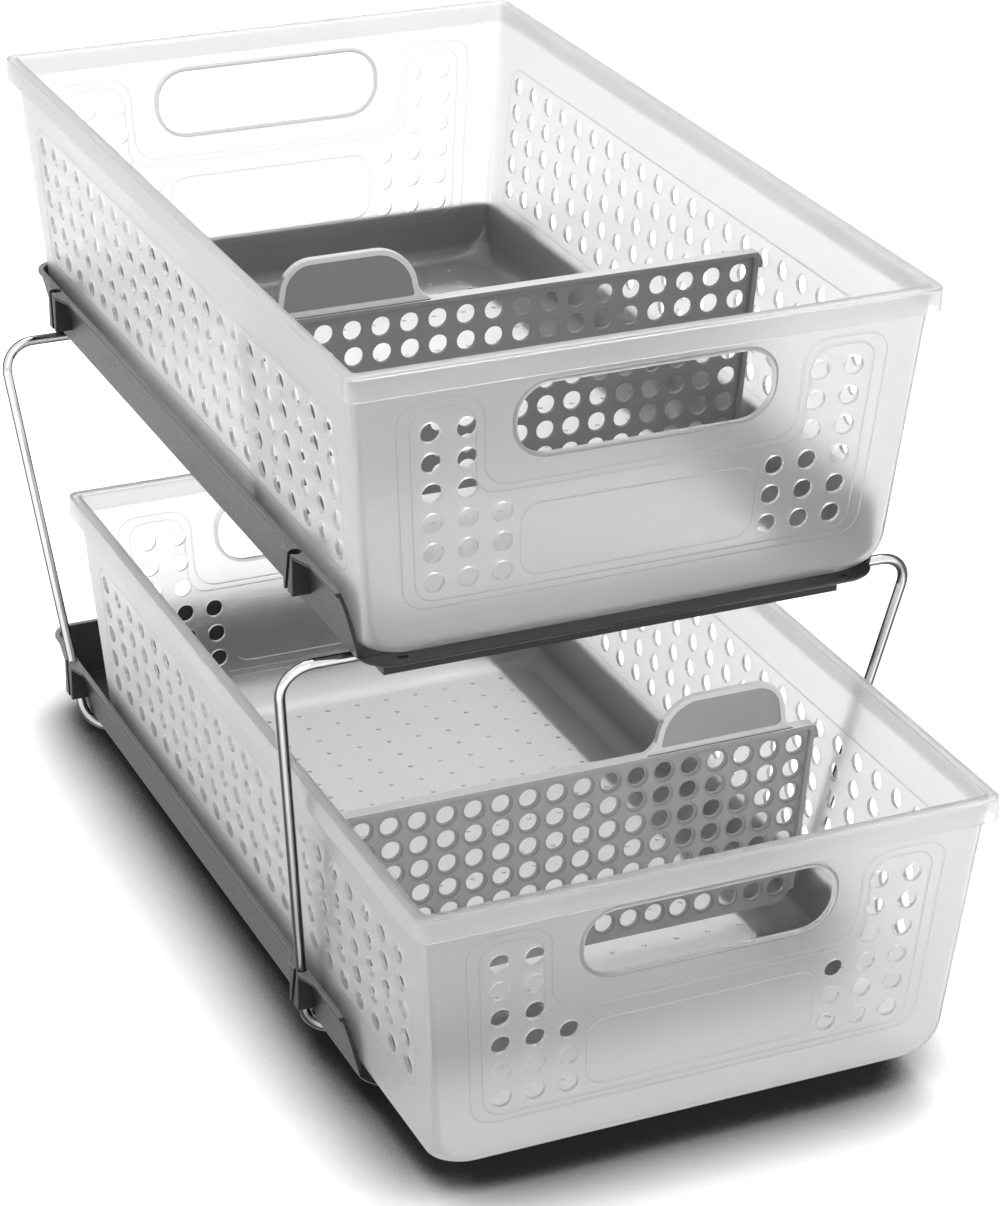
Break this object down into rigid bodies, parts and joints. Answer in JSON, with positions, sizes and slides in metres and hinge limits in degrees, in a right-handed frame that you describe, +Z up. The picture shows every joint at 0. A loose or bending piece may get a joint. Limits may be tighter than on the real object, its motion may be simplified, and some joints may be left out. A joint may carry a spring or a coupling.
{
  "type": "two-tier pull-out organizer",
  "caption": "Two-tier countertop or under-sink organizer: trays on bent wire frames, each with a perforated basket that slides out and a lift-out divider.",
  "frame": {"origin": "middle of the footprint at rest, on the surface that the wire frames' foot bars stand on", "axes": "+Z up, front (the side the baskets pull out to) towards -Y, +X to the viewer's right when facing the front"},
  "size_m": [0.2776, 0.4884, 0.3268],
  "materials": {
    "tray_plastic": "dark grey moulded plastic, fine satin",
    "wire_chrome": "bright chrome plate",
    "basket_plastic": "frosted translucent clear plastic",
    "upper_divider_plastic": "mid grey, slightly translucent satin plastic",
    "lower_divider_plastic": "mid grey, slightly translucent satin plastic"
  },
  "bodies": {
    "stand": {"upper_tray": "tray_plastic", "lower_tray": "tray_plastic", "front_wire_frame": "wire_chrome", "rear_wire_frame": "wire_chrome"},
    "upper_basket_body": {"upper_basket": "basket_plastic"},
    "lower_basket_body": {"lower_basket": "basket_plastic"},
    "upper_divider_body": {"upper_divider": "upper_divider_plastic"},
    "lower_divider_body": {"lower_divider": "lower_divider_plastic"}
  },
  "joints": [
    {"name": "upper_basket_slide", "type": "slide", "parent": "stand", "child": "upper_basket_body", "axis": [0, -1, 0], "range_m": [0, 0.19]},
    {"name": "lower_basket_slide", "type": "slide", "parent": "stand", "child": "lower_basket_body", "axis": [0, -1, 0], "range_m": [-0.0685, 0.1215]},
    {"name": "upper_divider_lift", "type": "slide", "parent": "upper_basket_body", "child": "upper_divider_body", "axis": [0, 0, 1], "range_m": [0, 0.13]},
    {"name": "lower_divider_lift", "type": "slide", "parent": "lower_basket_body", "child": "lower_divider_body", "axis": [0, 0, 1], "range_m": [0, 0.055]}
  ]
}
